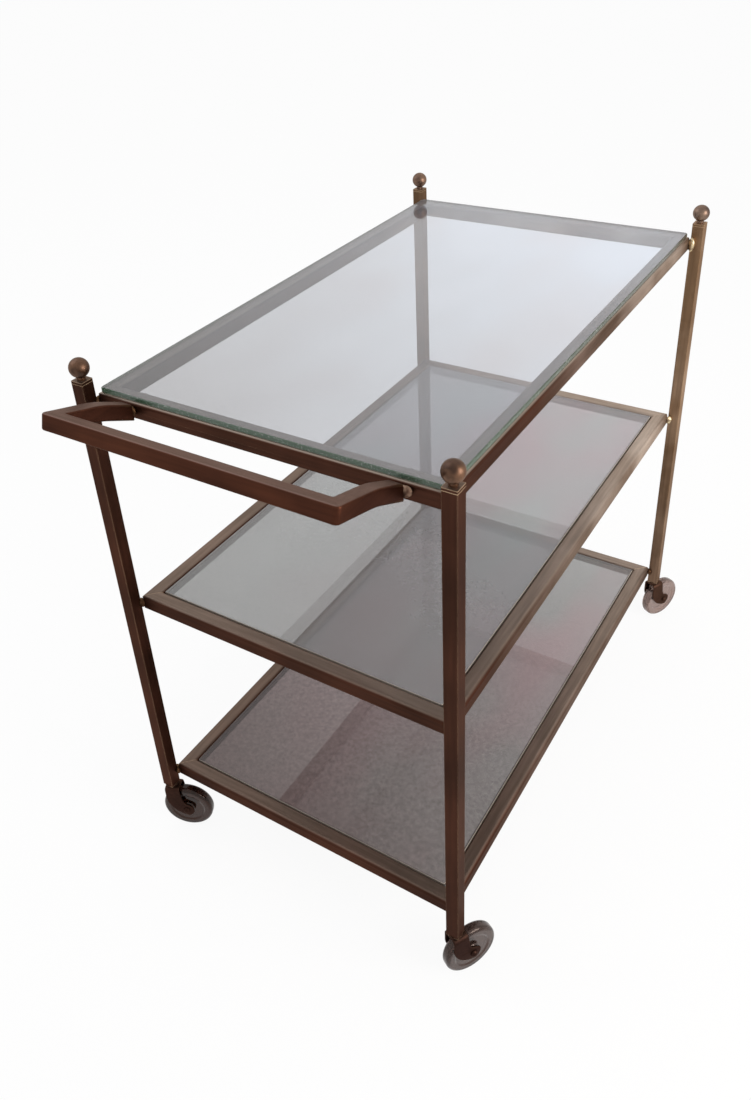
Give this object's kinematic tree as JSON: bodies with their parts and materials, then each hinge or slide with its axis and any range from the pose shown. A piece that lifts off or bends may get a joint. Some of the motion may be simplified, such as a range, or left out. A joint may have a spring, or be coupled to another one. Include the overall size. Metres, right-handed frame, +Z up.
{
  "type": "bar cart",
  "caption": "Three-tier rolling bar cart: square metal posts with ball finials, framed glass shelves, a raised push handle at one end and swivel casters with translucent wheels.",
  "frame": {"origin": "on the floor, at the middle of the cart's outline seen from above, handle and wheels included", "axes": "+Z up, Y along the long side with the push handle at -Y, X across the short side"},
  "size_m": [0.4817, 0.8805, 0.7226],
  "materials": {
    "patinated_brass": "satin, brown antique patina",
    "rubbed_brass": "polished on its high spots, brown in the recesses",
    "float_glass": "clear, greenish at the edge",
    "dark_steel": "dark bronze, satin",
    "smoky_acrylic": "translucent, smoky, glossy"
  },
  "bodies": {
    "frame": {"post_front_left": "patinated_brass", "post_front_right": "patinated_brass", "post_back_left": "patinated_brass", "post_back_right": "patinated_brass", "cap_front_left": "patinated_brass", "cap_front_right": "patinated_brass", "cap_back_left": "patinated_brass", "cap_back_right": "patinated_brass", "finial_front_left": "rubbed_brass", "finial_front_right": "rubbed_brass", "finial_back_left": "rubbed_brass", "finial_back_right": "rubbed_brass", "top_rail_front": "patinated_brass", "top_rail_back": "patinated_brass", "top_rail_left": "patinated_brass", "top_rail_right": "patinated_brass", "middle_rail_front": "patinated_brass", "middle_rail_back": "patinated_brass", "middle_rail_left": "patinated_brass", "middle_rail_right": "patinated_brass", "lower_rail_front": "patinated_brass", "lower_rail_back": "patinated_brass", "lower_rail_left": "patinated_brass", "lower_rail_right": "patinated_brass", "top_studs": "rubbed_brass", "middle_studs": "rubbed_brass", "lower_studs": "rubbed_brass", "middle_lips": "patinated_brass", "lower_lips": "patinated_brass", "top_glass": "float_glass", "middle_glass": "float_glass", "lower_glass": "float_glass", "handle_arm_left": "patinated_brass", "handle_arm_right": "patinated_brass", "handle_bar": "patinated_brass", "handle_ferrules": "rubbed_brass", "handle_bolts": "dark_steel", "socket_front_left": "dark_steel", "socket_front_right": "dark_steel", "socket_back_left": "dark_steel", "socket_back_right": "dark_steel"},
    "caster_front_left": {"stem_front_left": "dark_steel", "fork_front_left": "dark_steel", "axle_front_left": "dark_steel"},
    "roller_front_left": {"wheel_front_left": "smoky_acrylic"},
    "caster_front_right": {"stem_front_right": "dark_steel", "fork_front_right": "dark_steel", "axle_front_right": "dark_steel"},
    "roller_front_right": {"wheel_front_right": "smoky_acrylic"},
    "caster_back_left": {"stem_back_left": "dark_steel", "fork_back_left": "dark_steel", "axle_back_left": "dark_steel"},
    "roller_back_left": {"wheel_back_left": "smoky_acrylic"},
    "caster_back_right": {"stem_back_right": "dark_steel", "fork_back_right": "dark_steel", "axle_back_right": "dark_steel"},
    "roller_back_right": {"wheel_back_right": "smoky_acrylic"}
  },
  "joints": [
    {"name": "swivel_front_left", "type": "hinge", "parent": "frame", "child": "caster_front_left", "pos_m": [-0.2253, -0.3391, 0.07435], "axis": [0, 0, 1], "continuous": true},
    {"name": "roll_front_left", "type": "hinge", "parent": "caster_front_left", "child": "roller_front_left", "pos_m": [-0.20781, -0.33168, 0.0345], "axis": [-0.3907, 0.9205, 0], "continuous": true},
    {"name": "swivel_front_right", "type": "hinge", "parent": "frame", "child": "caster_front_right", "pos_m": [0.2107, -0.3391, 0.07435], "axis": [0, 0, 1], "continuous": true},
    {"name": "roll_front_right", "type": "hinge", "parent": "caster_front_right", "child": "roller_front_right", "pos_m": [0.21977, -0.3224, 0.0345], "axis": [-0.8788, 0.4772, 0], "continuous": true},
    {"name": "swivel_back_left", "type": "hinge", "parent": "frame", "child": "caster_back_left", "pos_m": [-0.2253, 0.3909, 0.07435], "axis": [0, 0, 1], "continuous": true},
    {"name": "roll_back_left", "type": "hinge", "parent": "caster_back_left", "child": "roller_back_left", "pos_m": [-0.21074, 0.40311, 0.0345], "axis": [-0.6428, 0.766, 0], "continuous": true},
    {"name": "swivel_back_right", "type": "hinge", "parent": "frame", "child": "caster_back_right", "pos_m": [0.2107, 0.3909, 0.07435], "axis": [0, 0, 1], "continuous": true},
    {"name": "roll_back_right", "type": "hinge", "parent": "caster_back_right", "child": "roller_back_right", "pos_m": [0.21924, 0.40788, 0.0345], "axis": [-0.8934, 0.4493, 0], "continuous": true}
  ]
}
